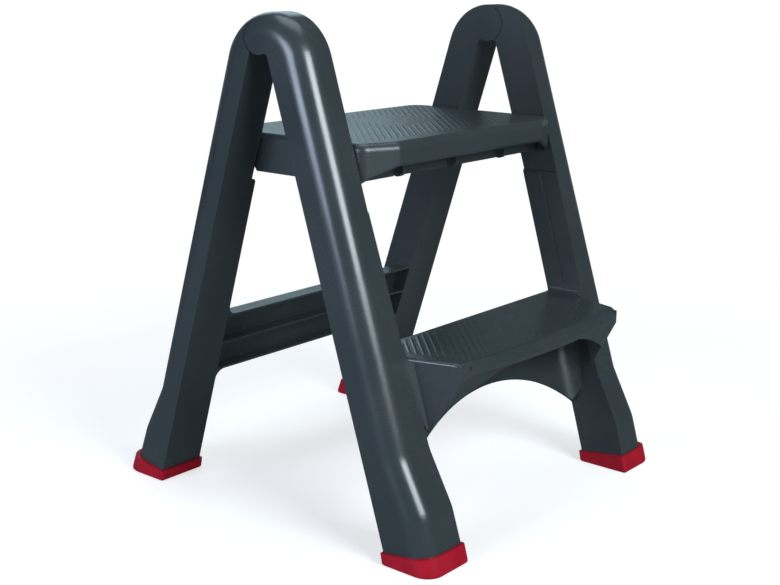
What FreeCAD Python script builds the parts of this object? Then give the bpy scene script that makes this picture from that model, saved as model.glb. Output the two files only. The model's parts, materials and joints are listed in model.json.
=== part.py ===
import FreeCAD, Part
import math
import os

# Folding two-step stool, in millimetres. +Z is up, +X runs along the width and the
# lower step is at the front, on the -Y side. The origin is on the floor, in the middle.

V = FreeCAD.Vector
X_AXIS = V(1, 0, 0)
Z_AXIS = V(0, 0, 1)

# Overall frame
PIVOT_Z = 553.0          # height of the hinge at the top of each A
LEAN_DEG = 17.7          # lean of every leg from the vertical
OUTER_X = 231.0          # outer face of the legs
UPPER_WIDTH = 46.5       # width of a leg above its shoulder
ARCH_RISE = 24.0         # top of the A above the hinge
INNER_OFFSET = 6.5       # hinge to the inside edge of a leg, square to the leg
FRONT_OFFSET = 54.5      # hinge to the front face of a front leg
REAR_OFFSET = 49.2       # hinge to the rear face of a rear leg
EDGE_RADIUS = 24.0       # long rounded edge on the outside of the A
WALL = 3.2               # wall of the legs

# Feet
FOOT_FRONT_Y = 239.5     # outer edge of a leg at the foot line
FLARE_KNEE_FRONT_Y = 226.0
FLARE_KNEE_REAR_Y = 222.0
FLARE_KNEE_Z = 62.0
FLARE_TOP_Z = 121.0
FLARE_RADIUS = 55.0
FOOT_LINE_Z = 16.0
LEG_BOTTOM_Z = 5.0
CAP_PROUD = 3.5          # how far a foot cap stands out from its leg
CAP_HEIGHT = 13.0        # rim of a cap at the inside of the A
CAP_RISE = 9.0           # how much higher its rim is at the outside
CAP_RADIUS = 4.0
CAP_CORNER_RADIUS = 22.0 # corner of a cap at the outside of the A
SOLE_CHAMFER = 2.0       # edge round the sole of a cap
CAP_FIT = 0.3            # room round the plug inside the leg
PLUG_HEIGHT = 22.0

# Shoulders, where the legs get wider towards the inside
FRONT_SHOULDER_Z = 371.0
REAR_SHOULDER_Z = 387.0
FRONT_SHOULDER_WIDTH = 50.0
REAR_SHOULDER_WIDTH = 53.0
FOOT_WIDTH = 60.5        # width of a leg at the floor
SHOULDER_RADIUS = 5.0

# Top hinge
OUTER_HALF_WIDTH = 22.0  # outer half of a knuckle, which belongs to the front leg
OUTER_KNUCKLE_RADIUS = 20.8
INNER_KNUCKLE_RADIUS = 22.5
KNUCKLE_GAP = 0.9
LAP_GAP = 0.3
OUTER_SEAM_DEG = 135.0   # where the outer half's seam leaves the arch
INNER_SEAM_DEG = 122.0
SEAM_GAP_DEG = 1.0
CROTCH_RADIUS = 5.0
HINGE_PIN_RADIUS = 6.0
HINGE_PIN_SKIN = 4.0     # wall left over each end of the pin
RUNNING_FIT = 0.06       # radial clearance of a pin in the part that turns on it
END_FLOAT = 0.5

# Hollow legs
CAVITY_TOP_D = 36.0      # where the hollow starts below the hinge
PANEL_N = 30.0           # sunk panel on the inside face of a front leg
PANEL_DEPTH = 2.4
PANEL_BOTTOM_Z = 232.0
PANEL_RADIUS = 6.0
RIB_WALL = 2.4           # ribs under the steps
RIB_ROOT = 0.5           # how far a rib runs into the wall it stands on

# Lower tread
TREAD_Z = 217.0
TREAD_WALL = 3.5
NOSE_Y = -241.0
NOSE_HEIGHT = 14.5
NOSE_RADIUS = 11.0
NOSE_SIDE_RADIUS = 3.5   # edge along each end of the tread
NOSE_TAPER = 22.6        # how far each end of the nose stands in from the leg
NOSE_BOW_RADIUS = 900.0  # plan curve of the nose
SKIRT_WALL = 3.2
ARCH_RIM_Z = 137.0       # top of the arch in the rear skirt
ARCH_END_Z = 76.0        # its ends at the legs
GUSSET_WALL = 3.2
GUSSET_ARCH_TOP_Z = 203.0
GUSSET_ARCH_RADIUS = 340.0
GUSSET_BOTTOM_Z = 136.0
ROOT_WIDTH = 21.0        # hollow root of a gusset on the front of the leg
ROOT_RISE = 6.0
ROOT_END_SHARE = 0.15    # size of the root at its lower end
SKIRT_FILLET = 25.0
TREAD_RIB_DEPTH = 9.0
TREAD_RIBS = 5
COVE_RADIUS = 7.0

# Crossbar of the rear frame
BAR_TOP_Z = 214.0
BAR_BOTTOM_Z = 139.0
BAR_DEPTH = 22.0
BAR_WALL = 3.0
BAR_CORNER_RADIUS = 12.0

# Platform
PLATFORM_Z = 441.5
PLATFORM_SIDE_GAP = 2.2  # between a side skirt and the leg
PLATFORM_WALL = 3.2
PLATFORM_FRONT_Y = -121.5
PLATFORM_REAR_Y = 116.0
PLATFORM_CORNER_Y = -103.0
PLATFORM_CORNER_CUT = 44.3
PLATFORM_SKIRT_Z = 397.0
LIP_HEIGHT = 24.0
REAR_LIP_HEIGHT = 24.0
SKIRT_REAR_Y = 90.0
SKIRT_FRONT_Y = -98.0
DECK_EDGE_RADIUS = 9.0
REAR_CORNER_RADIUS = 26.0
SIDE_CORNER_RADIUS = 16.0
FRONT_CORNER_RADIUS = 10.0
LONG_RIB_X = 98.0
LONG_RIB_FRONT_Y = -95.0
LONG_RIB_WIDTH = 6.0
RIB_NOTCH_TOP = 13.5     # half widths of the gap in the cross wall round a long rib
RIB_NOTCH_BOTTOM = 8.0
CROSS_WALL_Y = -86.0
CROSS_RIB_PITCH = 58.0
CROSS_RIB_DEPTH = 22.0
RIB_NOSE_DROP = 1.0

# Platform hinge and its rest on the rear legs
PLATFORM_PIVOT_N = 30.0  # hinge line to the platform's pins, square to the front leg
PLATFORM_PIVOT_Z = 418.0
PLATFORM_PIN_RADIUS = 5.0
PIN_HEAD_RADIUS = 9.0
PIN_HEAD_LENGTH = 3.0
BOSS_RADIUS = 11.0
BOSS_LENGTH = 12.0
BOSS_GAP = 0.35
SOCKET_DEPTH = 14.0      # blind hole for the pin in a front leg
SOCKET_SKIN = 3.0
LUG_N = 22.0
LUG_Z = 407.0
LUG_RADIUS = 6.0
LUG_LENGTH = 6.5
LUG_GAP = 0.3
NOTCH_SLOPE_DEG = 52.0   # front side of the notch, from the horizontal

LEAN = math.radians(LEAN_DEG)
SIN = math.sin(LEAN)
COS = math.cos(LEAN)
FRONT = -1
REAR = 1
INNER_X = OUTER_X - UPPER_WIDTH
LAP_X = OUTER_X - OUTER_HALF_WIDTH
PLATFORM_HALF_WIDTH = INNER_X - PLATFORM_SIDE_GAP
LUG_END_X = INNER_X - LUG_LENGTH
HINGE = V(0, 0, PIVOT_Z)
BIG = 400.0
OVERCUT = 5.0            # how far a cutting tool starts before its hole

# The arch over the hinge touches the outside faces of both legs.
ARCH_DZ = (ARCH_RISE - (FRONT_OFFSET + REAR_OFFSET) / 2) / (1 - SIN)
ARCH_RADIUS = (FRONT_OFFSET + REAR_OFFSET) / 2 - SIN * ARCH_DZ
ARCH_CENTRE = V(0, -(FRONT_OFFSET - REAR_OFFSET) / (2 * COS), PIVOT_Z + ARCH_DZ)


def at(lean, n, d, x=0.0):
    """Point n out from the hinge square to a leg, and d down along it."""
    return V(x, lean * (n * COS + d * SIN), PIVOT_Z + n * SIN - d * COS)


def down_to(n, z):
    """Distance along a leg to height z, on the line n out from the hinge."""
    return (PIVOT_Z - z + n * SIN) / COS


def at_height(lean, n, z, x=0.0):
    return at(lean, n, down_to(n, z), x)


def line(a, b):
    return Part.LineSegment(a, b).toShape()


def arc(a, b, c):
    return Part.Arc(a, b, c).toShape()


def bent(points, radii):
    """Edges through the points, with an arc at each inner one; radius 0 leaves it sharp."""
    edges = []
    start = points[0]
    for before, corner, after, radius in zip(points, points[1:], points[2:], radii):
        if radius == 0:
            edges.append(line(start, corner))
            start = corner
            continue
        back = (before - corner).normalize()
        ahead = (after - corner).normalize()
        half = back.getAngle(ahead) / 2
        reach = radius / math.tan(half)
        bisector = (back + ahead).normalize()
        centre = corner + bisector * (radius / math.sin(half))
        first = corner + back * reach
        last = corner + ahead * reach
        edges.append(line(start, first))
        edges.append(arc(first, centre - bisector * radius, last))
        start = last
    edges.append(line(start, points[-1]))
    return edges


def rounded_face(points, radius):
    """Closed polygon with its corners rounded; radius is one value or a list of them."""
    radii = radius if isinstance(radius, list) else [radius] * len(points)
    middle = (points[0] + points[-1]) * 0.5
    edges = bent([middle] + points + [middle], radii)
    return Part.Face(Part.Wire(edges))


def polygon(points):
    return Part.Face(Part.makePolygon(points + [points[0]]))


def block(x0, x1, y0, y1, z0, z1):
    return Part.makeBox(x1 - x0, y1 - y0, z1 - z0, V(x0, y0, z0))


def rod(radius, x0, x1, centre):
    return Part.makeCylinder(radius, x1 - x0, V(x0, centre.y, centre.z), X_AXIS)


def slice_x(face, x0, x1):
    """Solid of a face in the YZ plane, from x0 to x1."""
    moved = face.copy()
    moved.translate(V(x0, 0, 0))
    return moved.extrude(V(x1 - x0, 0, 0))


def slice_y(face, y0, y1):
    """Solid of a face in the XZ plane, from y0 to y1."""
    moved = face.copy()
    moved.translate(V(0, y0, 0))
    return moved.extrude(V(0, y1 - y0, 0))


def left_of(shape):
    return shape.mirror(V(0, 0, 0), X_AXIS)


def both_sides(shape):
    return [shape, left_of(shape)]


def outer_offset(lean):
    return FRONT_OFFSET if lean == FRONT else REAR_OFFSET


def flare_points(lean, inset):
    """Outside face of a leg, from the start of the flare down to the floor end."""
    knee_y = FLARE_KNEE_FRONT_Y if lean == FRONT else FLARE_KNEE_REAR_Y
    top = at_height(lean, outer_offset(lean) - inset, FLARE_TOP_Z)
    shift = inset / COS
    knee = V(0, lean * (knee_y - shift), FLARE_KNEE_Z)
    foot = V(0, lean * (FOOT_FRONT_Y - shift), FOOT_LINE_Z)
    run = (foot - knee) * ((FLARE_KNEE_Z - LEG_BOTTOM_Z) / (FLARE_KNEE_Z - FOOT_LINE_Z))
    return [top, knee, knee + run]


def arch_touch(lean):
    """Where the arch meets the outside face of a leg."""
    return ARCH_CENTRE + V(0, lean * COS, SIN) * ARCH_RADIUS


def knuckle_radius(own):
    return OUTER_KNUCKLE_RADIUS if own == FRONT else INNER_KNUCKLE_RADIUS


def a_outline(own):
    """Outline of a whole A, with the crotch fillet of the leg that owns the knuckle."""
    other = -own
    knuckle = knuckle_radius(own)
    edges = []
    for lean in (own, other):
        top, knee, foot = flare_points(lean, 0)
        inner_foot = at_height(lean, INNER_OFFSET, LEG_BOTTOM_Z)
        outside = [arch_touch(lean), top, knee, foot]
        edges += bent(outside, [FLARE_RADIUS, FLARE_RADIUS])
        edges.append(line(foot, inner_foot))
        if lean == own:
            reach = knuckle + CROTCH_RADIUS
            n = INNER_OFFSET - CROTCH_RADIUS
            d = math.sqrt(reach ** 2 - n ** 2)
            centre = at(own, n, d)
            crotch = at(own, INNER_OFFSET, d)
            share = knuckle / reach
            on_knuckle = HINGE + (centre - HINGE) * share
            towards = ((crotch - centre).normalize() + (on_knuckle - centre).normalize()).normalize()
            edges.append(line(inner_foot, crotch))
            edges.append(arc(crotch, centre + towards * CROTCH_RADIUS, on_knuckle))
            own_end = on_knuckle
        else:
            d = math.sqrt(knuckle ** 2 - INNER_OFFSET ** 2)
            other_end = at(other, INNER_OFFSET, d)
            edges.append(line(inner_foot, other_end))
    across = ((own_end - HINGE) + (other_end - HINGE)).normalize()
    edges.append(arc(own_end, HINGE + across * knuckle, other_end))
    summit = ARCH_CENTRE + Z_AXIS * ARCH_RADIUS
    edges.append(arc(arch_touch(own), summit, arch_touch(other)))
    return Part.Face(Part.Wire(Part.__sortEdges__(edges)))


def own_region(own, seam_deg, radius, x0, x1):
    """Space of the leg that owns a knuckle half: its side of the seam, and the knuckle."""
    seam = math.radians(seam_deg)
    far = HINGE + V(0, own * math.cos(seam), math.sin(seam)) * BIG
    corners = [HINGE, far, V(0, own * BIG, far.z), V(0, own * BIG, -BIG), V(0, 0, -BIG)]
    side = slice_x(polygon(corners), x0, x1)
    return side.fuse(rod(radius, x0, x1, HINGE))


def on_arch(edge):
    """True for an edge on the outside of the A: the arch, the faces and the flares."""
    middle = edge.valueAt((edge.FirstParameter + edge.LastParameter) / 2)
    lean = FRONT if middle.y < 0 else REAR
    n = lean * middle.y * COS + (middle.z - PIVOT_Z) * SIN
    return n > REAR_OFFSET - 2 * WALL or middle.z > PIVOT_Z + 0.8 * ARCH_RISE


def rounded_outside(solid, x, radius):
    """Round the outside edges of an A that lie in the plane at x."""
    edges = []
    for edge in solid.Edges:
        flat = all(abs(vertex.X - x) < 0.01 for vertex in edge.Vertexes)
        if flat and edge.BoundBox.ZLength > 1 and on_arch(edge):
            edges.append(edge)
    return solid.makeFillet(radius, edges)


def a_blank(own):
    """Whole right-hand A, solid, with its shoulders and its rounded outside edges."""
    blank = slice_x(a_outline(own), INNER_X - BIG / 10, OUTER_X)
    for lean in (FRONT, REAR):
        shoulder_z = FRONT_SHOULDER_Z if lean == FRONT else REAR_SHOULDER_Z
        low = V(inner_x(lean, LEG_BOTTOM_Z), 0, LEG_BOTTOM_Z)
        step = V(inner_x(lean, shoulder_z), 0, shoulder_z)
        edges = bent([V(INNER_X, 0, shoulder_z), step, low], [SHOULDER_RADIUS])
        outline = [low, V(0, 0, LEG_BOTTOM_Z), V(0, 0, BIG * 2), V(INNER_X, 0, BIG * 2),
                   V(INNER_X, 0, shoulder_z)]
        edges += [line(p, q) for p, q in zip(outline, outline[1:])]
        air = Part.Face(Part.Wire(edges))
        blank = blank.cut(slice_y(air, min(0, lean * BIG), max(0, lean * BIG)))
    blank = blank.removeSplitter()
    return rounded_outside(blank, OUTER_X, EDGE_RADIUS)


def a_halves():
    """Outer and inner half of the right-hand A, each split into its two legs."""
    parts = {FRONT: [], REAR: []}
    for own, seam, x0, x1 in (
        (FRONT, OUTER_SEAM_DEG, LAP_X, OUTER_X),
        (REAR, INNER_SEAM_DEG, INNER_X - BIG / 10, LAP_X),
    ):
        solid = a_blank(own).common(block(x0, x1, -BIG, BIG, 0, 2 * BIG))
        radius = knuckle_radius(own)
        mine = own_region(own, seam, radius, x0 - 1, x1 + 1)
        gap = own_region(own, seam + SEAM_GAP_DEG, radius + KNUCKLE_GAP, x0 - 1, x1 + 1)
        parts[own].append(solid.common(mine))
        parts[-own].append(solid.cut(gap))
    return parts


def leg_width(lean, z):
    """Width of the lower leg at height z, between the floor and the shoulder."""
    shoulder_z = FRONT_SHOULDER_Z if lean == FRONT else REAR_SHOULDER_Z
    shoulder = FRONT_SHOULDER_WIDTH if lean == FRONT else REAR_SHOULDER_WIDTH
    return FOOT_WIDTH + (shoulder - FOOT_WIDTH) * z / shoulder_z


def inner_x(lean, z):
    return OUTER_X - leg_width(lean, z)


def leg_strip(lean, inner_n, inset, top_d):
    """Face of one leg from top_d down to the floor end, inset from its outside face."""
    top, knee, foot = flare_points(lean, inset)
    outside = [at(lean, outer_offset(lean) - inset, top_d), top, knee, foot]
    edges = bent(outside, [FLARE_RADIUS, FLARE_RADIUS])
    inner_foot = at_height(lean, inner_n, LEG_BOTTOM_Z)
    inner_top = at(lean, inner_n, top_d)
    edges.append(line(foot, inner_foot))
    edges.append(line(inner_foot, inner_top))
    edges.append(line(inner_top, outside[0]))
    return Part.Face(Part.Wire(edges))


def hollow(lean, inset):
    """Inside of a leg, inset from its walls; it is open at the floor end only."""
    shoulder_z = FRONT_SHOULDER_Z if lean == FRONT else REAR_SHOULDER_Z
    far = OUTER_X - inset
    strip = leg_strip(lean, INNER_OFFSET + inset, inset, CAVITY_TOP_D)
    space = slice_x(strip, INNER_X - BIG / 10, far)
    space = rounded_outside(space, far, EDGE_RADIUS - inset)
    step_z = shoulder_z - inset
    sides = [
        V(INNER_X + inset, 0, PIVOT_Z),
        V(far + 1, 0, PIVOT_Z),
        V(far + 1, 0, -1),
        V(inner_x(lean, 0) + inset, 0, -1),
        V(inner_x(lean, step_z) + inset, 0, step_z),
        V(INNER_X + inset, 0, step_z),
    ]
    return space.common(slice_y(polygon(sides), -BIG, BIG))


def sunk_panel(grow):
    """Shallow panel sunk in the inside face of a front leg, grown by a wall if need be."""
    top_z = FRONT_SHOULDER_Z + PANEL_RADIUS + 1
    low_z = PANEL_BOTTOM_Z - grow
    n = PANEL_N - grow
    corners = [
        at_height(FRONT, n, low_z),
        at_height(FRONT, FRONT_OFFSET + BIG / 10, low_z),
        at_height(FRONT, FRONT_OFFSET + BIG / 10, top_z),
        at_height(FRONT, n, top_z),
    ]
    face = rounded_face(corners, [PANEL_RADIUS, 0, 0, PANEL_RADIUS])
    tool = slice_x(face, INNER_X - BIG / 10, INNER_X + grow)
    low_x = inner_x(FRONT, PANEL_BOTTOM_Z) + PANEL_DEPTH
    high_x = min(inner_x(FRONT, FRONT_SHOULDER_Z) + PANEL_DEPTH, INNER_X)
    rise = (high_x - low_x) / (FRONT_SHOULDER_Z - PANEL_BOTTOM_Z)
    low_x += grow
    high_x += grow
    floor = polygon([
        V(0, 0, 0),
        V(low_x - rise * PANEL_BOTTOM_Z, 0, 0),
        V(high_x, 0, FRONT_SHOULDER_Z),
        V(high_x, 0, BIG * 2),
        V(0, 0, BIG * 2),
    ])
    return tool.common(slice_y(floor, -BIG, 0))


def leg(lean, halves):
    """One right-hand leg, before the pieces that join it to the left-hand one."""
    body = halves[0].fuse(halves[1])
    space = hollow(lean, WALL)
    if lean == FRONT:
        body = body.cut(sunk_panel(0))
        space = space.cut(sunk_panel(WALL))
    return body.cut(space)


def platform_pivot():
    return at_height(FRONT, PLATFORM_PIVOT_N, PLATFORM_PIVOT_Z)


def lug_centre():
    return at_height(REAR, LUG_N, LUG_Z)


def tread_side(y, inset=0.0):
    """Half width of the tread at y, on the line that tapers from the legs to the nose."""
    leg_y = at_height(FRONT, FRONT_OFFSET, TREAD_Z).y
    start = inner_x(FRONT, TREAD_Z)
    taper = NOSE_TAPER / (leg_y - NOSE_Y)
    return start + taper * (y - leg_y) - inset * math.hypot(1, taper)


def bowed_block(inset, low, high):
    """Block across the whole stool with the tread's bowed nose, inset from it."""
    rear = at_height(FRONT, INNER_OFFSET, TREAD_Z).y
    solid = block(-OUTER_X, OUTER_X, NOSE_Y - NOSE_HEIGHT, rear, low, high)
    return solid.common(Part.makeCylinder(
        NOSE_BOW_RADIUS - inset, high - low, V(0, NOSE_Y + NOSE_BOW_RADIUS, low)))


def tapered_sides(inset, low, high):
    """Block in the tread's plan between its two sides, inset from them."""
    rear = at_height(FRONT, INNER_OFFSET, TREAD_Z).y
    leg_y = at_height(FRONT, FRONT_OFFSET, TREAD_Z).y
    ahead = NOSE_Y - NOSE_HEIGHT
    right = [
        V(tread_side(leg_y, inset), rear, low),
        V(tread_side(leg_y, inset), leg_y, low),
        V(tread_side(ahead, inset), ahead, low),
    ]
    left = [V(-p.x, p.y, low) for p in reversed(right)]
    return polygon(right + left).extrude(V(0, 0, high - low))


def tread_block(inset, low, high):
    return bowed_block(inset, low, high).common(tapered_sides(inset, low, high))


def gusset_side(inset):
    """Side view of a gusset from the leg to the nose, inset from its slanting front."""
    ceiling = TREAD_Z - TREAD_WALL
    toe = at_height(FRONT, FRONT_OFFSET, GUSSET_BOTTOM_Z)
    heel = at_height(FRONT, FRONT_OFFSET - WALL / 2, GUSSET_BOTTOM_Z)
    tip = V(0, NOSE_Y + NOSE_RADIUS, TREAD_Z - NOSE_HEIGHT + 1)
    run = (tip - toe).normalize()
    up = V(0, run.z, -run.y) * inset
    top = tip + up + run * inset
    return slice_x(polygon([
        at_height(FRONT, FRONT_OFFSET - WALL / 2, ceiling),
        V(0, top.y, ceiling),
        top,
        toe + up,
        heel + up,
    ]), 0, OUTER_X)


def gusset():
    """Right-hand bracket under the tread: a side plate and an arched front."""
    ceiling = TREAD_Z - TREAD_WALL
    low = GUSSET_BOTTOM_Z - 1
    envelope = gusset_side(0).common(tread_block(0, low, TREAD_Z))
    side = envelope.cut(tapered_sides(GUSSET_WALL, low - 1, TREAD_Z))
    front = envelope.cut(gusset_side(GUSSET_WALL))
    arch = Part.makeCylinder(GUSSET_ARCH_RADIUS, BIG,
                             V(0, -BIG, GUSSET_ARCH_TOP_Z - GUSSET_ARCH_RADIUS), V(0, 1, 0))
    front = front.cut([arch, block(-BIG, 0, -BIG, BIG, 0, ceiling + 1)])
    return side.fuse([front, gusset_root()])


def gusset_root():
    """Hollow root that spreads a gusset's side plate over the front of the leg."""
    wires = []
    for z, share in (
        (TREAD_Z - NOSE_SIDE_RADIUS, 1),
        (GUSSET_BOTTOM_Z + GUSSET_WALL, ROOT_END_SHARE),
    ):
        width = ROOT_WIDTH * share
        rise = ROOT_RISE * share
        radius = (width ** 2 + rise ** 2) / (2 * rise)
        tip = at_height(FRONT, FRONT_OFFSET + rise, z)
        tip.x = tread_side(tip.y)
        outer = at_height(FRONT, FRONT_OFFSET, z, tip.x + width)
        angle = math.atan2(width, radius - rise) / 2
        middle = at_height(FRONT, FRONT_OFFSET + radius * (1 - math.cos(angle)), z,
                           outer.x - radius * math.sin(angle))
        deep = at_height(FRONT, FRONT_OFFSET - WALL / 2, z)
        wires.append(Part.Wire([
            arc(outer, middle, tip),
            line(tip, V(tip.x - 1, tip.y, z)),
            line(V(tip.x - 1, tip.y, z), V(tip.x - 1, deep.y, z)),
            line(V(tip.x - 1, deep.y, z), V(outer.x, deep.y, z)),
            line(V(outer.x, deep.y, z), outer),
        ]))
    return Part.makeLoft(wires, True, True)


def corner_strip(x, n, radius, x_sign, top_z, bottom_z):
    """Concave fillet along a front leg, in the corner of a face at x and one at n."""
    centre_x = x + x_sign * radius
    centre_n = n + radius
    start = at_height(FRONT, 0, top_z)
    end = at_height(FRONT, 0, bottom_z)
    across = at(FRONT, 1, 0) - at(FRONT, 0, 0)
    reach = 1.0

    def spot(px, pn):
        return start + V(px, 0, 0) + across * pn

    first = spot(x, centre_n)
    last = spot(centre_x, n)
    mid = spot(centre_x - x_sign * radius / math.sqrt(2), centre_n - radius / math.sqrt(2))
    edges = [
        arc(first, mid, last),
        line(last, spot(centre_x, n - reach)),
        line(spot(centre_x, n - reach), spot(x - x_sign * reach, n - reach)),
        line(spot(x - x_sign * reach, n - reach), spot(x - x_sign * reach, centre_n)),
        line(spot(x - x_sign * reach, centre_n), first),
    ]
    face = Part.Face(Part.Wire(Part.__sortEdges__(edges)))
    strip = face.extrude(end - start)
    return strip.common(block(-BIG, BIG, -BIG, BIG, bottom_z + 1, top_z - 1))


def tread():
    """Lower tread: deck, lip, arched rear skirt, gussets and shallow ribs."""
    low = TREAD_Z - NOSE_HEIGHT
    leg_y = at_height(FRONT, FRONT_OFFSET, TREAD_Z).y
    ceiling = TREAD_Z - TREAD_WALL
    slab = bowed_block(0, low, TREAD_Z)
    nose = [edge for edge in slab.Edges
            if edge.BoundBox.ZMin > TREAD_Z - 0.1 and edge.CenterOfMass.y < leg_y - ROOT_WIDTH
            and edge.BoundBox.XLength > OUTER_X]
    slab = slab.makeFillet(NOSE_RADIUS, nose).common(tapered_sides(0, low, TREAD_Z))
    sides = []
    for edge in slab.Edges:
        middle = edge.valueAt((edge.FirstParameter + edge.LastParameter) / 2)
        on_side = abs(abs(middle.x) - tread_side(middle.y)) < 0.01
        if on_side and middle.y < leg_y - 1 and middle.z > low + 0.1:
            sides.append(edge)
    slab = slab.makeFillet(NOSE_SIDE_RADIUS, sides)
    slab = slab.cut(tread_block(SKIRT_WALL, low - 1, ceiling))
    slab = slab.cut(slice_x(polygon([
        at_height(FRONT, INNER_OFFSET, low - 1),
        at_height(FRONT, INNER_OFFSET, TREAD_Z + 1),
        V(0, 0, TREAD_Z + 1),
        V(0, 0, low - 1),
    ]), -OUTER_X, OUTER_X))
    half = inner_x(FRONT, TREAD_Z) + WALL / 2
    skirt = slice_x(polygon([
        at_height(FRONT, INNER_OFFSET, ceiling),
        at_height(FRONT, INNER_OFFSET + SKIRT_WALL, ceiling),
        at_height(FRONT, INNER_OFFSET + SKIRT_WALL, LEG_BOTTOM_Z),
        at_height(FRONT, INNER_OFFSET, LEG_BOTTOM_Z),
    ]), -half, half)
    corner = corner_strip(inner_x(FRONT, ARCH_RIM_Z), INNER_OFFSET + SKIRT_WALL, SKIRT_FILLET, -1,
                          ceiling + 1, ARCH_END_Z)
    toe = at_height(FRONT, FRONT_OFFSET, GUSSET_BOTTOM_Z)
    end = at_height(FRONT, INNER_OFFSET + SKIRT_WALL, ARCH_END_Z)
    corner = corner.cut(slice_x(polygon([
        end,
        toe,
        V(0, -BIG, toe.z),
        V(0, -BIG, 0),
        V(0, end.y, 0),
    ]), -OUTER_X, OUTER_X))
    skirt = skirt.fuse(both_sides(corner))
    rise = ARCH_RIM_Z - ARCH_END_Z
    span = inner_x(FRONT, ARCH_END_Z)
    radius = (span ** 2 + rise ** 2) / (2 * rise)
    hole = Part.makeCylinder(radius, BIG, V(0, -BIG, ARCH_RIM_Z - radius), V(0, 1, 0))
    skirt = skirt.cut([hole, block(-BIG, BIG, -BIG, 0, -BIG, ARCH_END_Z)])
    pieces = [skirt] + both_sides(gusset())
    rear = at_height(FRONT, INNER_OFFSET, TREAD_Z).y
    rib_low = ceiling - TREAD_RIB_DEPTH
    reach = tread_block(SKIRT_WALL - RIB_ROOT, rib_low, ceiling + RIB_ROOT)
    ribs = []
    for i in range(TREAD_RIBS):
        x = (i - (TREAD_RIBS - 1) / 2) * 2 * tread_side(NOSE_Y) / (TREAD_RIBS + 1)
        ribs.append(block(x - RIB_WALL / 2, x + RIB_WALL / 2, NOSE_Y, rear - SKIRT_WALL,
                          rib_low, TREAD_Z))
    for share in (0.35, 0.68):
        y = rear + (NOSE_Y - rear) * share
        ribs.append(block(-OUTER_X, OUTER_X, y - RIB_WALL / 2, y + RIB_WALL / 2,
                          rib_low, TREAD_Z))
    pieces += [rib.common(reach) for rib in ribs]
    return slab.fuse(pieces)


def cove(x, z, y0, y1):
    """Concave fillet strip in the corner of a deck at z and a wall at x."""
    corner = V(x + 1, 0, z - 1)
    a = V(x - COVE_RADIUS, 0, z - 1)
    b = V(x - COVE_RADIUS, 0, z)
    c = V(x, 0, z + COVE_RADIUS)
    e = V(x + 1, 0, z + COVE_RADIUS)
    centre = V(x - COVE_RADIUS, 0, z + COVE_RADIUS)
    bulge = centre + V(1, 0, -1) * (COVE_RADIUS / math.sqrt(2))
    edges = [line(corner, a), line(a, b), arc(b, bulge, c), line(c, e), line(e, corner)]
    return slice_y(Part.Face(Part.Wire(edges)), y0, y1)


def bore(radius, x0, x1, centre):
    return both_sides(rod(radius, x0, x1, centre))


def front_frame(halves):
    """Front legs, lower tread and the outer knuckle halves, as one moulding."""
    right = leg(FRONT, halves)
    pivot = platform_pivot()
    socket_end = INNER_X + SOCKET_DEPTH
    socket = rod(BOSS_RADIUS, INNER_X + WALL / 2, socket_end + SOCKET_SKIN, pivot)
    right = right.fuse(socket)
    rear = at_height(FRONT, INNER_OFFSET, TREAD_Z).y
    leg_front = at_height(FRONT, FRONT_OFFSET, TREAD_Z).y
    strip = cove(inner_x(FRONT, TREAD_Z), TREAD_Z, leg_front + COVE_RADIUS, rear - 1)
    frame = right.fuse([left_of(right), tread(), strip, left_of(strip)])
    cuts = bore(PLATFORM_PIN_RADIUS, INNER_X - OVERCUT, socket_end, pivot)
    cuts += bore(HINGE_PIN_RADIUS, LAP_X - OVERCUT, OUTER_X - HINGE_PIN_SKIN, HINGE)
    return frame.cut(cuts).removeSplitter()


def crossbar():
    """Tall crossbar between the rear legs, open to the front, with one long rib."""
    tall_top = BAR_TOP_Z + BAR_CORNER_RADIUS
    tall_bottom = BAR_BOTTOM_Z - BAR_CORNER_RADIUS
    half = inner_x(REAR, BAR_TOP_Z)
    section = polygon([
        at_height(REAR, INNER_OFFSET, tall_top),
        at_height(REAR, INNER_OFFSET + BAR_DEPTH, tall_top),
        at_height(REAR, INNER_OFFSET + BAR_DEPTH, tall_bottom),
        at_height(REAR, INNER_OFFSET, tall_bottom),
    ])
    bar = slice_x(section, -half - WALL / 2, half + WALL / 2)
    upper = [V(-half, 0, BAR_TOP_Z), V(half, 0, BAR_TOP_Z), V(half, 0, BIG), V(-half, 0, BIG)]
    lower_half = inner_x(REAR, BAR_BOTTOM_Z)
    lower = [
        V(-lower_half, 0, -BIG),
        V(lower_half, 0, -BIG),
        V(lower_half, 0, BAR_BOTTOM_Z),
        V(-lower_half, 0, BAR_BOTTOM_Z),
    ]
    windows = [
        slice_y(rounded_face(upper, BAR_CORNER_RADIUS), 0, BIG),
        slice_y(rounded_face(lower, BAR_CORNER_RADIUS), 0, BIG),
    ]
    bar = bar.cut(windows)
    middle = (BAR_TOP_Z + BAR_BOTTOM_Z) / 2
    pockets = []
    for low, high in (
        (BAR_BOTTOM_Z + BAR_WALL, middle - BAR_WALL / 2),
        (middle + BAR_WALL / 2, BAR_TOP_Z - BAR_WALL),
    ):
        pockets.append(slice_x(polygon([
            at_height(REAR, INNER_OFFSET - BAR_WALL, high),
            at_height(REAR, INNER_OFFSET + BAR_DEPTH - BAR_WALL, high),
            at_height(REAR, INNER_OFFSET + BAR_DEPTH - BAR_WALL, low),
            at_height(REAR, INNER_OFFSET - BAR_WALL, low),
        ]), -half, half))
    return bar.cut(pockets)


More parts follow.
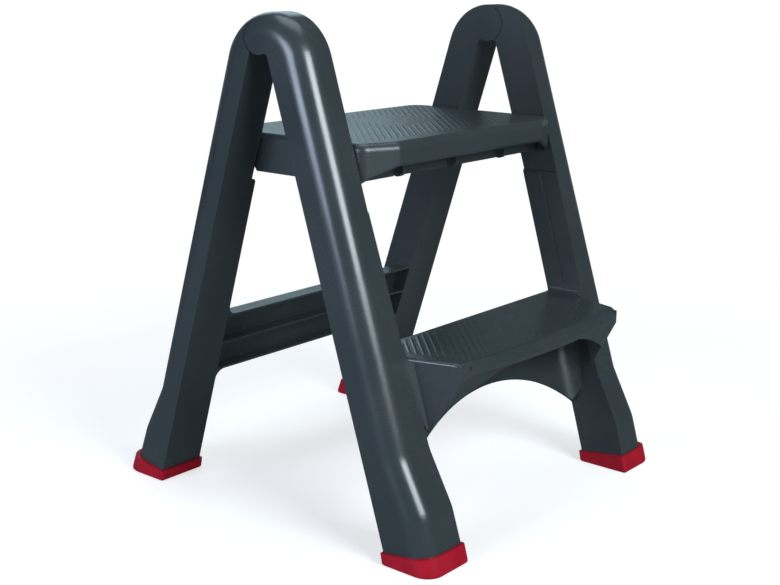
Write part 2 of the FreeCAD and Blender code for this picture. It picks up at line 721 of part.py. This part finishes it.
def rear_frame(halves, front_outer):
    """Rear legs, crossbar and the inner knuckle halves, as one moulding."""
    right = leg(REAR, halves)
    lap = front_outer.common(block(LAP_X, LAP_X + LAP_GAP, -BIG, BIG, 0, 2 * BIG))
    lap.translate(V(-LAP_GAP, 0, 0))
    right = right.cut(lap)
    lug = rod(LUG_RADIUS, LUG_END_X, INNER_X + WALL / 2, lug_centre())
    right = right.fuse(lug)
    frame = right.fuse([left_of(right), crossbar()])
    running = HINGE_PIN_RADIUS + RUNNING_FIT
    return frame.cut(bore(running, INNER_X + HINGE_PIN_SKIN, LAP_X + OVERCUT, HINGE))


def platform_block(inset, low, high):
    """Solid of the platform's plan with rounded top edges, inset from its sides."""
    half = PLATFORM_HALF_WIDTH - inset
    right = [
        V(half, PLATFORM_REAR_Y - inset, low),
        V(half, PLATFORM_CORNER_Y + inset / 2, low),
        V(half - PLATFORM_CORNER_CUT + inset / 2, PLATFORM_FRONT_Y + inset, low),
    ]
    left = [V(-p.x, p.y, low) for p in reversed(right)]
    radii = [REAR_CORNER_RADIUS - inset, SIDE_CORNER_RADIUS - inset, FRONT_CORNER_RADIUS - inset]
    solid = rounded_face(right + left, radii + radii[::-1]).extrude(V(0, 0, high - low))
    top = [edge for edge in solid.Edges if edge.BoundBox.ZMin > high - 0.1]
    return solid.makeFillet(DECK_EDGE_RADIUS - inset, top)


def platform():
    """Upper step: deck, lip, side skirts, ribs, pin bosses and notches for the rests."""
    body = platform_block(0, PLATFORM_SKIRT_Z, PLATFORM_Z)
    body = body.cut(platform_block(PLATFORM_WALL, PLATFORM_SKIRT_Z - 1, PLATFORM_Z - PLATFORM_WALL))
    front_low = PLATFORM_Z - LIP_HEIGHT
    rear_low = PLATFORM_Z - REAR_LIP_HEIGHT
    trim = slice_x(polygon([
        V(0, -BIG, front_low),
        V(0, PLATFORM_FRONT_Y, front_low),
        V(0, SKIRT_FRONT_Y, PLATFORM_SKIRT_Z),
        V(0, SKIRT_REAR_Y, PLATFORM_SKIRT_Z),
        V(0, PLATFORM_REAR_Y, rear_low),
        V(0, BIG, rear_low),
        V(0, BIG, 0),
        V(0, -BIG, 0),
    ]), -BIG, BIG)
    ceiling = PLATFORM_Z - PLATFORM_WALL / 2
    half = PLATFORM_HALF_WIDTH
    reach = platform_block(PLATFORM_WALL / 2, PLATFORM_SKIRT_Z, ceiling)
    wall = block(-half, half, CROSS_WALL_Y, CROSS_WALL_Y + RIB_WALL, PLATFORM_SKIRT_Z, ceiling)
    ribs = []
    count = int((SKIRT_REAR_Y - CROSS_WALL_Y) // CROSS_RIB_PITCH)
    for i in range(1, count + 1):
        y = CROSS_WALL_Y + i * CROSS_RIB_PITCH
        ribs.append(block(-half, half, y, y + RIB_WALL, PLATFORM_Z - CROSS_RIB_DEPTH, ceiling))
    nose_radius = CROSS_WALL_Y - LONG_RIB_FRONT_Y
    centre = V(0, CROSS_WALL_Y, PLATFORM_SKIRT_Z + nose_radius - RIB_NOSE_DROP)
    noses = []
    for x in (-LONG_RIB_X, 0, LONG_RIB_X):
        wall = wall.cut(slice_y(polygon([
            V(x - RIB_NOTCH_TOP, 0, PLATFORM_Z - PLATFORM_WALL),
            V(x - RIB_NOTCH_BOTTOM, 0, PLATFORM_SKIRT_Z - 1),
            V(x + RIB_NOTCH_BOTTOM, 0, PLATFORM_SKIRT_Z - 1),
            V(x + RIB_NOTCH_TOP, 0, PLATFORM_Z - PLATFORM_WALL),
        ]), CROSS_WALL_Y - 1, CROSS_WALL_Y + RIB_WALL + 1))
        side = LONG_RIB_WIDTH / 2
        ribs.append(block(x - side, x + side, CROSS_WALL_Y, PLATFORM_REAR_Y,
                          PLATFORM_SKIRT_Z, ceiling))
        noses.append(rod(nose_radius, x - side, x + side, centre))
        noses.append(block(x - side, x + side, LONG_RIB_FRONT_Y, CROSS_WALL_Y + RIB_WALL,
                           centre.z, ceiling))
    body = body.fuse([rib.common(reach) for rib in ribs + [wall]]).cut(trim)
    pivot = platform_pivot()
    outer_end = INNER_X - BOSS_GAP
    bosses = both_sides(rod(BOSS_RADIUS, PLATFORM_HALF_WIDTH - BOSS_LENGTH, outer_end, pivot))
    body = body.fuse(noses + bosses)
    cuts = bore(PLATFORM_PIN_RADIUS + RUNNING_FIT, 0, OUTER_X, pivot)
    cuts += both_sides(notch())
    return body.cut(cuts).removeSplitter()


def notch():
    """Hook in a side skirt that drops over the rest lug on a rear leg."""
    centre = lug_centre()
    radius = LUG_RADIUS + LUG_GAP
    depth = centre.z - PLATFORM_SKIRT_Z + OVERCUT
    slope = math.radians(NOTCH_SLOPE_DEG)
    touch = centre + V(0, -math.sin(slope), math.cos(slope)) * radius
    run = V(0, -math.cos(slope), -math.sin(slope)) * (2 * depth)
    throat = polygon([
        centre,
        touch,
        touch + run,
        V(0, centre.y + radius, touch.z + run.z),
        V(0, centre.y + radius, centre.z),
    ])
    x0 = LUG_END_X - LUG_GAP * 4
    return slice_x(throat, x0, INNER_X).fuse(rod(radius, x0, INNER_X, centre))


def foot_profile(lean, inset, inner_inset, bottom_z, low_z, high_z):
    """YZ face round the lower end of a leg, with a top that rises to the outside."""
    top, knee, foot = flare_points(lean, inset)
    slope = (foot - knee) * (1 / abs(foot.z - knee.z))
    return polygon([
        V(0, at_height(lean, INNER_OFFSET + inner_inset, LEG_BOTTOM_Z).y, bottom_z),
        at_height(lean, INNER_OFFSET + inner_inset, low_z),
        foot - slope * (high_z - foot.z),
        foot,
        V(0, foot.y, bottom_z),
    ])


def upright_edges(solid, x):
    """The long edges of a foot in the plane at x, as (towards the A, outside) lists."""
    found = [edge for edge in solid.Edges
             if all(abs(vertex.X - x) < 0.01 for vertex in edge.Vertexes)
             and edge.BoundBox.ZLength > LEG_BOTTOM_Z - 1
             and edge.BoundBox.ZLength > edge.BoundBox.YLength]
    middle = sum(edge.CenterOfMass.y for edge in found) / len(found)
    near = [edge for edge in found if abs(edge.CenterOfMass.y) < abs(middle)]
    far = [edge for edge in found if abs(edge.CenterOfMass.y) > abs(middle)]
    return near, far


def foot_cap(lean):
    """Soft cap over the end of a leg, with a plug that stands in its channel."""
    x0 = inner_x(lean, 0) - CAP_PROUD
    x1 = OUTER_X + CAP_PROUD
    high = CAP_HEIGHT + CAP_RISE
    cap = slice_x(foot_profile(lean, -CAP_PROUD, -CAP_PROUD, 0, CAP_HEIGHT, high), x0, x1)
    near, far = upright_edges(cap, x1)
    cap = cap.makeFillet(CAP_CORNER_RADIUS, far)
    near = upright_edges(cap, x1)[0]
    near += upright_edges(cap, x0)[0] + upright_edges(cap, x0)[1]
    cap = cap.makeFillet(CAP_RADIUS, near)
    cap = cap.makeChamfer(SOLE_CHAMFER, [e for e in cap.Edges if e.BoundBox.ZMax < 0.01])
    cap = cap.cut(leg_blank(lean))
    plug = hollow(lean, WALL + CAP_FIT).common(block(0, BIG, -BIG, BIG, 0, PLUG_HEIGHT))
    return cap.fuse(plug).removeSplitter()


def hinge_pin():
    x0 = INNER_X + HINGE_PIN_SKIN + END_FLOAT
    x1 = OUTER_X - HINGE_PIN_SKIN - END_FLOAT
    pin = rod(HINGE_PIN_RADIUS, x0, x1, HINGE)
    return pin.makeChamfer(0.8, [e for e in pin.Edges if isinstance(e.Curve, Part.Circle)])


def platform_pin():
    """Headed pin, put in from inside the platform and held in the leg's socket."""
    pivot = platform_pivot()
    end_x = INNER_X + SOCKET_DEPTH
    head_x = PLATFORM_HALF_WIDTH - BOSS_LENGTH - END_FLOAT
    shank = rod(PLATFORM_PIN_RADIUS, head_x, end_x, pivot)
    head = rod(PIN_HEAD_RADIUS, head_x - PIN_HEAD_LENGTH, head_x, pivot)
    rim = [e for e in head.Edges if isinstance(e.Curve, Part.Circle) and e.CenterOfMass.x < head_x - 1]
    return shank.fuse(head.makeFillet(PIN_HEAD_LENGTH / 2, rim)).removeSplitter()


def leg_blank(lean):
    """Outside shape of the lower end of a right-hand leg, not hollowed."""
    strip = leg_strip(lean, INNER_OFFSET, 0, down_to(INNER_OFFSET, FLARE_TOP_Z))
    solid = rounded_outside(slice_x(strip, INNER_X - BIG / 10, OUTER_X), OUTER_X, EDGE_RADIUS)
    side = [
        V(inner_x(lean, 0), 0, 0),
        V(inner_x(lean, FLARE_TOP_Z + BIG / 10), 0, FLARE_TOP_Z + BIG / 10),
        V(BIG, 0, FLARE_TOP_Z + BIG / 10),
        V(BIG, 0, 0),
    ]
    return solid.common(slice_y(polygon(side), -BIG, BIG))


def save(name, shape):
    solids = shape.Solids
    assert len(solids) == 1 and shape.isValid(), f"{name}: {len(solids)} solids, valid {shape.isValid()}"
    solids[0].exportStep(f"parts/{name}.step")


def main():
    os.makedirs("parts", exist_ok=True)
    halves = a_halves()
    save("front_frame", front_frame(halves[FRONT]))
    save("rear_frame", rear_frame(halves[REAR], halves[FRONT][0]))
    save("platform", platform())
    for where, lean in (("front", FRONT), ("rear", REAR)):
        cap = foot_cap(lean)
        save(f"foot_{where}_right", cap)
        save(f"foot_{where}_left", left_of(cap))
    for name, piece in (
        ("hinge_pin", hinge_pin()),
        ("platform_pin", platform_pin()),
    ):
        save(f"{name}_right", piece)
        save(f"{name}_left", left_of(piece))


main()
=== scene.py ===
import bpy
import json
import math
from mathutils import Matrix, Vector

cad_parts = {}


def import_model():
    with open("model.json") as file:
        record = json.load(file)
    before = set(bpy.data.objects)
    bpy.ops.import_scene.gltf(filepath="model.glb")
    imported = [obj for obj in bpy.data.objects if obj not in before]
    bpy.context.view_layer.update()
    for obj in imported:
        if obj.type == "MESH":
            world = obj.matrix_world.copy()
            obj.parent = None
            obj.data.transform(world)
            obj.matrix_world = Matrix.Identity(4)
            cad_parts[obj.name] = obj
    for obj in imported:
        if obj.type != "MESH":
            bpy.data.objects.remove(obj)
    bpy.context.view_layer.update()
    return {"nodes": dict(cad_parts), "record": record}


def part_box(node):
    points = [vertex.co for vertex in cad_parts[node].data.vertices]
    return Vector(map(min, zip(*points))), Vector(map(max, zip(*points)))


# Folding step stool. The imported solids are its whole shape, so this script gives them
# their materials and sets the floor, the lamps and the camera. Lengths are in metres.

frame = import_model()

# Camera: solved from the stool's own level and square edges
IMAGE_WIDTH = 780
FOCAL_PIXELS = 1309.1
SENSOR = 36.0
CLIP_START = 0.01
CAMERA_PLACE = Vector((-1.2246, -1.0096, 0.6299))
CAMERA_AZIMUTH = math.radians(-50.32)
CAMERA_ELEVATION = math.radians(14.20)
CAMERA_ROLL = math.radians(0.46)

# Colours, linear
BODY_COLOUR = (0.037, 0.047, 0.051)
BODY_SHADE = (0.032, 0.042, 0.046)
# painted shade: a darker colour laid on the grip lines in place of the shade along them
GROOVE_PAINTED_SHADE = (0.020, 0.027, 0.031)
FOOT_COLOUR = (0.44, 0.005, 0.022)
FOOT_SHADE = (0.37, 0.004, 0.017)
STEEL_COLOUR = (0.56, 0.57, 0.58)
STEEL_SHADE = (0.48, 0.49, 0.50)
PIN_COLOUR = (0.018, 0.020, 0.022)
WHITE = (1.0, 1.0, 1.0)
FLOOR_COLOUR = (0.64, 0.64, 0.64)
FLOOR_MIRROR = (0.16, 0.18, 0.19)    # the same floor, seen in the stool's gloss
SKY_COLOUR = (0.88, 0.95, 1.0)
ROOM_COLOUR = (0.68, 0.90, 1.0)

# Each noise has a scale per metre and a detail, and each relief a depth in metres and a
# strength. A spread gives the values of a noise between which a tint or a roughness turns.
TINT_SPREAD = (0.3, 0.7)

# Moulded plastic
CLOUD_NOISE = (9.0, 4.0)
WAVE_NOISE = (14.0, 1.0)
GRAIN_NOISE = (1400.0, 3.0)
WAVE_RELIEF = (0.0012, 0.22)
GRAIN_RELIEF = (0.00012, 0.30)
PLATFORM_ROUGHNESS = 0.28
FRAME_ROUGHNESS = 0.22
PIN_ROUGHNESS = 0.38
ROUGH_SPREAD = (0.25, 0.75)
ROUGH_BELOW = 0.03
ROUGH_ABOVE = 0.04
GRAIN_ROUGHNESS = 0.05
PLASTIC_SHINE = 0.85

# Foot rubber
MOTTLE_NOISE = (40.0, 3.0)
PEBBLE_NOISE = (900.0, 2.0)
PEBBLE_RELIEF = (0.0002, 0.35)
RUBBER_SPREAD = (0.2, 0.8)
RUBBER_ROUGHNESS = (0.42, 0.52)
RUBBER_SHINE = 0.2

# Turned steel
RING_NOISE = (120.0, 2.0)
RING_STRETCH = (30.0, 1.0, 1.0)
RING_RELIEF = (0.0001, 0.3)
STEEL_ROUGHNESS = (0.22, 0.36)

# Grip lines moulded on the two steps, with painted shade darkening the lines
GRIP_PITCH = 0.0076
GRIP_WIDTH = 0.0024
GRIP_SLOPE = 0.0010
GRIP_RELIEF = (0.00015, 1.0)
GRIP_PAINTED_SHADE_AMOUNT = 0.40
GRIP_SKIN = 0.00035      # how far below the deck the lines still show
EDGE_BLEND = 0.0015
PATCH_POWER = 4.0        # 2 is an ellipse, and a higher one comes nearer to a rectangle
PATCH_EDGE = (0.9, 1.1)
PLATFORM_GRIP = dict(reach_y=(-0.096, 0.110), half_width=0.172, half_taper=0.0,
                     plain_centre=(0.015, 0.014), plain_half=(0.044, 0.046))
TREAD_GRIP = dict(reach_y=(-0.226, -0.118), half_width=0.200, half_taper=0.26,
                  plain_centre=(0.030, -0.172), plain_half=(0.050, 0.034))

# Floor: its glow makes it white to the camera, and further out it fades to plain white
FLOOR_SIZE = 12.0
FLOOR_GLOW = 0.60
FLOOR_FADE = (0.45, 1.10)

# Room: light from all sides, and a dim studio with a pale backdrop for reflections
SKY_LEVEL = 0.16
ROOM_LEVEL = 0.085
BACKDROP_LEVEL = 0.24
BACKDROP_AZIMUTH = math.radians(39.7)
BACKDROP_FACING = (0.45, 0.90)       # cosine to the backdrop, from its edge to its full level
BACKDROP_TOP = (0.08, 0.30)          # height on the unit sphere over which it fades away

# Soft boxes: name, place, target, width, watts and colour
EDGE_TARGET = (-0.20, -0.10, 0.35)
MIDDLE_TARGET = (0.0, 0.0, 0.28)
SOFT_BOXES = (
    ("front", (-0.50, -2.58, 1.62), EDGE_TARGET, 1.3, 64.0, (0.86, 0.95, 1.0)),
    ("left", (-2.88, 0.46, 1.07), EDGE_TARGET, 1.5, 52.0, (0.70, 0.79, 1.0)),
    ("top", (0.3, 0.2, 2.6), MIDDLE_TARGET, 1.6, 14.0, (0.80, 0.93, 1.0)),
    ("back", (1.6, 2.0, 1.6), MIDDLE_TARGET, 1.2, 7.0, (0.66, 0.90, 1.0)),
)


class Graph:
    """Short calls for building the node tree of one material or world."""

    def __init__(self, owner, output="ShaderNodeOutputMaterial"):
        self.owner = owner
        owner.use_nodes = True
        self.tree = owner.node_tree
        self.tree.nodes.clear()
        self.output = self.node(output)

    def node(self, kind, **settings):
        made = self.tree.nodes.new(kind)
        for key, value in settings.items():
            setattr(made, key, value)
        return made

    def put(self, socket, value):
        """Link another socket to this one, or set it to a number, a vector or a colour."""
        if isinstance(value, bpy.types.NodeSocket):
            self.tree.links.new(value, socket)
        elif socket.type == "RGBA":
            socket.default_value = (*value, 1.0)
        else:
            socket.default_value = value

    def coordinates(self, kind="Object"):
        return self.node("ShaderNodeTexCoord").outputs[kind]

    def split(self, vector):
        made = self.node("ShaderNodeSeparateXYZ")
        self.put(made.inputs[0], vector)
        return made.outputs

    def calc(self, operation, a, b=0.0):
        made = self.node("ShaderNodeMath", operation=operation)
        self.put(made.inputs[0], a)
        self.put(made.inputs[1], b)
        return made.outputs[0]

    def measure(self, operation, vector, other=(0.0, 0.0, 0.0)):
        """A number from a vector, such as its LENGTH, or its DOT_PRODUCT with another."""
        made = self.node("ShaderNodeVectorMath", operation=operation)
        self.put(made.inputs[0], vector)
        self.put(made.inputs[1], other)
        return made.outputs["Value"]

    def ramp(self, value, low, high, out_low=0.0, out_high=1.0):
        made = self.node("ShaderNodeMapRange", interpolation_type="SMOOTHSTEP")
        for key, item in (("Value", value), ("From Min", low), ("From Max", high),
                          ("To Min", out_low), ("To Max", out_high)):
            self.put(made.inputs[key], item)
        return made.outputs["Result"]

    def noise(self, scale, detail, stretch=(1.0, 1.0, 1.0)):
        mapping = self.node("ShaderNodeMapping")
        self.put(mapping.inputs["Scale"], stretch)
        self.put(mapping.inputs["Vector"], self.coordinates())
        made = self.node("ShaderNodeTexNoise")
        for key, item in (("Scale", scale), ("Detail", detail),
                          ("Vector", mapping.outputs["Vector"])):
            self.put(made.inputs[key], item)
        return made.outputs["Fac"]

    def blend(self, factor, a, b):
        made = self.node("ShaderNodeMix", data_type="RGBA")
        for key, item in (("Factor", factor), ("A", a), ("B", b)):
            self.put(made.inputs[key], item)
        return made.outputs["Result"]

    def bump(self, height, relief, normal=None):
        """Normal of a height map, whose relief is its depth in metres and its strength."""
        made = self.node("ShaderNodeBump")
        self.put(made.inputs["Distance"], relief[0])
        self.put(made.inputs["Strength"], relief[1])
        self.put(made.inputs["Height"], height)
        if normal is not None:
            self.put(made.inputs["Normal"], normal)
        return made.outputs["Normal"]

    def rays(self, *kinds):
        """1 for a ray of one of these kinds, such as Camera, and 0 for any other."""
        path = self.node("ShaderNodeLightPath")
        total = 0.0
        for kind in kinds:
            total = self.calc("MAXIMUM", total, path.outputs[f"Is {kind} Ray"])
        return total

    def shader(self, kind, colour, strength=None):
        made = self.node(kind)
        self.put(made.inputs["Color"], colour)
        if strength is not None:
            self.put(made.inputs["Strength"], strength)
        return made.outputs[0]

    def join(self, kind, *parts):
        """A Mix Shader from a factor and two shaders, or an Add Shader from two shaders."""
        made = self.node(kind)
        for socket, part in zip(made.inputs, parts):
            self.put(socket, part)
        return made.outputs[0]

    def finish(self, shader):
        self.put(self.output.inputs["Surface"], shader)
        return self.owner

    def principled(self, **inputs):
        made = self.node("ShaderNodeBsdfPrincipled")
        for key, value in inputs.items():
            self.put(made.inputs[key.replace("_", " ")], value)
        return self.finish(made.outputs["BSDF"])


def grip_lines(graph, top_z, reach_y, half_width, half_taper, plain_centre, plain_half):
    """Mask from 0 to 1 of slanting lines on a deck, with a plain patch in the middle.

    half_width is the half width at y = 0 and half_taper its growth with y."""
    x, y, z = graph.split(graph.coordinates())
    across = graph.calc("MULTIPLY", graph.calc("SUBTRACT", x, y), math.sqrt(0.5) / GRIP_PITCH)
    offset = graph.calc("ABSOLUTE", graph.calc("SUBTRACT", graph.calc("FRACT", across), 0.5))
    half = GRIP_WIDTH / 2 / GRIP_PITCH
    slope = GRIP_SLOPE / GRIP_PITCH
    line = graph.ramp(offset, half - slope, half + slope, 1.0, 0.0)
    on_deck = graph.ramp(z, top_z - GRIP_SKIN, top_z - GRIP_SKIN / 4)
    back = graph.ramp(y, reach_y[1] - EDGE_BLEND, reach_y[1], 1.0, 0.0)
    front = graph.ramp(y, reach_y[0], reach_y[0] + EDGE_BLEND)
    taper = graph.calc("MULTIPLY", y, half_taper)
    side = graph.calc("SUBTRACT", graph.calc("ABSOLUTE", x), taper)
    sides = graph.ramp(side, half_width - EDGE_BLEND, half_width, 1.0, 0.0)
    powers = []
    for value, centre, reach in zip((x, y), plain_centre, plain_half):
        away = graph.calc("DIVIDE", graph.calc("SUBTRACT", value, centre), reach)
        powers.append(graph.calc("POWER", graph.calc("ABSOLUTE", away), PATCH_POWER))
    around = graph.ramp(graph.calc("ADD", *powers), *PATCH_EDGE)
    mask = line
    for part in (on_deck, back, front, sides, around):
        mask = graph.calc("MULTIPLY", mask, part)
    return mask


def moulded_plastic(name, colour, shade, roughness, grip=None):
    """Semi-gloss moulded plastic: fine grain, faint flow marks and slow waves."""
    graph = Graph(bpy.data.materials.new(name))
    cloud = graph.noise(*CLOUD_NOISE)
    grain = graph.noise(*GRAIN_NOISE)
    waves = graph.noise(*WAVE_NOISE)
    tint = graph.blend(graph.ramp(cloud, *TINT_SPREAD), shade, colour)
    rough = graph.calc("ADD", graph.ramp(cloud, *ROUGH_SPREAD, roughness - ROUGH_BELOW,
                                         roughness + ROUGH_ABOVE),
                       graph.calc("MULTIPLY", grain, GRAIN_ROUGHNESS))
    normal = graph.bump(grain, GRAIN_RELIEF, graph.bump(waves, WAVE_RELIEF))
    if grip:
        lines = grip_lines(graph, **grip)
        normal = graph.bump(lines, GRIP_RELIEF, normal)
        # Painted shade: the grip lines are tinted towards the darker groove colour
        tint = graph.blend(graph.calc("MULTIPLY", lines, GRIP_PAINTED_SHADE_AMOUNT), tint, GROOVE_PAINTED_SHADE)
    return graph.principled(Base_Color=tint, Roughness=rough, Normal=normal,
                            Specular_IOR_Level=PLASTIC_SHINE)


def foot_rubber():
    """Soft matt rubber with a fine pebbled skin."""
    graph = Graph(bpy.data.materials.new("foot_rubber"))
    mottle = graph.noise(*MOTTLE_NOISE)
    pebble = graph.noise(*PEBBLE_NOISE)
    tint = graph.blend(graph.ramp(mottle, *TINT_SPREAD), FOOT_SHADE, FOOT_COLOUR)
    rough = graph.ramp(mottle, *RUBBER_SPREAD, *RUBBER_ROUGHNESS)
    return graph.principled(Base_Color=tint, Roughness=rough,
                            Normal=graph.bump(pebble, PEBBLE_RELIEF),
                            Specular_IOR_Level=RUBBER_SHINE)


def turned_steel():
    """Bright steel with fine rings around the pin's axis."""
    graph = Graph(bpy.data.materials.new("turned_steel"))
    rings = graph.noise(*RING_NOISE, RING_STRETCH)
    tint = graph.blend(rings, STEEL_COLOUR, STEEL_SHADE)
    rough = graph.ramp(rings, *TINT_SPREAD, *STEEL_ROUGHNESS)
    return graph.principled(Base_Color=tint, Roughness=rough, Metallic=1.0,
                            Normal=graph.bump(rings, RING_RELIEF))


def dress(material, *nodes):
    for node in nodes:
        slots = frame["nodes"][node].data.materials
        slots.clear()
        slots.append(material)


def dress_all():
    deck_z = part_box("platform")[1].z
    tread_z = next(m["pos_m"][2] for m in frame["record"]["mounts"] if m["name"] == "tread_top")
    body = (BODY_COLOUR, BODY_SHADE)
    dress(moulded_plastic("platform_plastic", *body, PLATFORM_ROUGHNESS,
                          dict(PLATFORM_GRIP, top_z=deck_z)), "platform")
    dress(moulded_plastic("front_plastic", *body, FRAME_ROUGHNESS,
                          dict(TREAD_GRIP, top_z=tread_z)), "front_frame")
    dress(moulded_plastic("rear_plastic", *body, FRAME_ROUGHNESS), "rear_frame")
    dress(moulded_plastic("pin_plastic", PIN_COLOUR, PIN_COLOUR, PIN_ROUGHNESS),
          "platform_pin_left", "platform_pin_right")
    dress(foot_rubber(), "foot_front_left", "foot_front_right", "foot_rear_left",
          "foot_rear_right")
    dress(turned_steel(), "hinge_pin_left", "hinge_pin_right")


def floor():
    """Pale floor that keeps the stool's shadow and fades to plain white further out."""
    bpy.ops.mesh.primitive_plane_add(size=FLOOR_SIZE, location=(0.0, 0.0, 0.0))
    ground = bpy.context.object
    ground.name = "floor"
    graph = Graph(bpy.data.materials.new("pale_floor"))
    seen = graph.rays("Camera", "Transmission")
    colour = graph.blend(graph.rays("Glossy"), FLOOR_COLOUR, FLOOR_MIRROR)
    glow = graph.calc("MULTIPLY", seen, FLOOR_GLOW)
    lit = graph.join("ShaderNodeAddShader", graph.shader("ShaderNodeBsdfDiffuse", colour),
                     graph.shader("ShaderNodeEmission", WHITE, glow))
    away = graph.ramp(graph.measure("LENGTH", graph.coordinates()), *FLOOR_FADE)
    graph.finish(graph.join("ShaderNodeMixShader", graph.calc("MULTIPLY", away, seen), lit,
                            graph.shader("ShaderNodeEmission", WHITE, 1.0)))
    ground.data.materials.append(graph.owner)


def world():
    """White for the camera, a dim studio with a pale backdrop in the stool's gloss."""
    graph = Graph(bpy.data.worlds.new("studio"), "ShaderNodeOutputWorld")
    direction = graph.coordinates("Generated")
    towards = (math.cos(BACKDROP_AZIMUTH), math.sin(BACKDROP_AZIMUTH), 0.0)
    facing = graph.measure("DOT_PRODUCT", direction, towards)
    backdrop = graph.ramp(graph.split(direction)["Z"], *BACKDROP_TOP, BACKDROP_LEVEL, ROOM_LEVEL)
    room = graph.ramp(facing, *BACKDROP_FACING, ROOM_LEVEL, backdrop)
    unseen = graph.join("ShaderNodeMixShader", graph.rays("Glossy"),
                        graph.shader("ShaderNodeBackground", SKY_COLOUR, SKY_LEVEL),
                        graph.shader("ShaderNodeBackground", ROOM_COLOUR, room))
    white = graph.shader("ShaderNodeBackground", WHITE, 1.0)
    seen = graph.rays("Camera", "Transmission")
    bpy.context.scene.world = graph.finish(
        graph.join("ShaderNodeMixShader", seen, unseen, white))


def soft_box(name, place, target, width, watts, colour):
    lamp = bpy.data.lights.new(name, "AREA")
    lamp.shape = "RECTANGLE"
    lamp.size = width
    lamp.size_y = width
    lamp.energy = watts
    lamp.color = colour
    holder = bpy.data.objects.new(name, lamp)
    bpy.context.scene.collection.objects.link(holder)
    holder.location = place
    aim = Vector(target) - Vector(place)
    holder.rotation_euler = aim.to_track_quat("-Z", "Y").to_euler()


def camera():
    sine, cosine = math.sin(CAMERA_AZIMUTH), math.cos(CAMERA_AZIMUTH)
    level = math.cos(CAMERA_ELEVATION)
    back = Vector((sine * level, -cosine * level, math.sin(CAMERA_ELEVATION)))
    right = Vector((cosine, sine, 0.0))
    up = back.cross(right)
    turn, keep = math.sin(CAMERA_ROLL), math.cos(CAMERA_ROLL)
    axes = (right * keep + up * turn, up * keep - right * turn, back)
    eye = bpy.data.cameras.new("camera")
    eye.sensor_width = SENSOR
    eye.lens = FOCAL_PIXELS / IMAGE_WIDTH * SENSOR
    eye.clip_start = CLIP_START
    holder = bpy.data.objects.new("camera", eye)
    bpy.context.scene.collection.objects.link(holder)
    matrix = Matrix(axes).transposed().to_4x4()
    matrix.translation = CAMERA_PLACE
    holder.matrix_world = matrix
    bpy.context.scene.camera = holder


dress_all()
floor()
world()
for box in SOFT_BOXES:
    soft_box(*box)
camera()
bpy.context.scene.view_settings.view_transform = "Standard"
